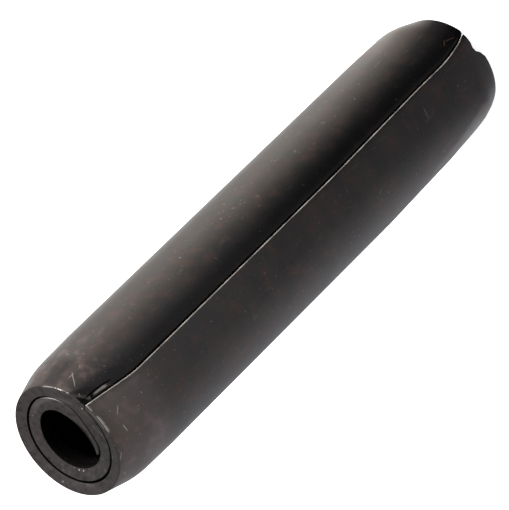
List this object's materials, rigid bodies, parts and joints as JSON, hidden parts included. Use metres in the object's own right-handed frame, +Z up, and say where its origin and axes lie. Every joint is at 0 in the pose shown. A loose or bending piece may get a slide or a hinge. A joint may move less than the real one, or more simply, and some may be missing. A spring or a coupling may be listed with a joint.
{
  "type": "coiled spring pin",
  "caption": "Coiled spring roll pin: a strip of blackened spring steel rolled on itself, with swaged ends, a hollow centre and a seam down its side.",
  "frame": {"origin": "centre of the lower swaged end, on the plane that the pin stands on", "axes": "+Z up the pin's axis to the upper swaged end; the seam faces -Y"},
  "size_m": [0.0106, 0.0106, 0.0502],
  "materials": {
    "blackened_steel": "hardened spring steel strip, black oxide and oil, bright where the edges are rubbed"
  },
  "bodies": {
    "root": {"coiled_pin": "blackened_steel"}
  },
  "joints": []
}
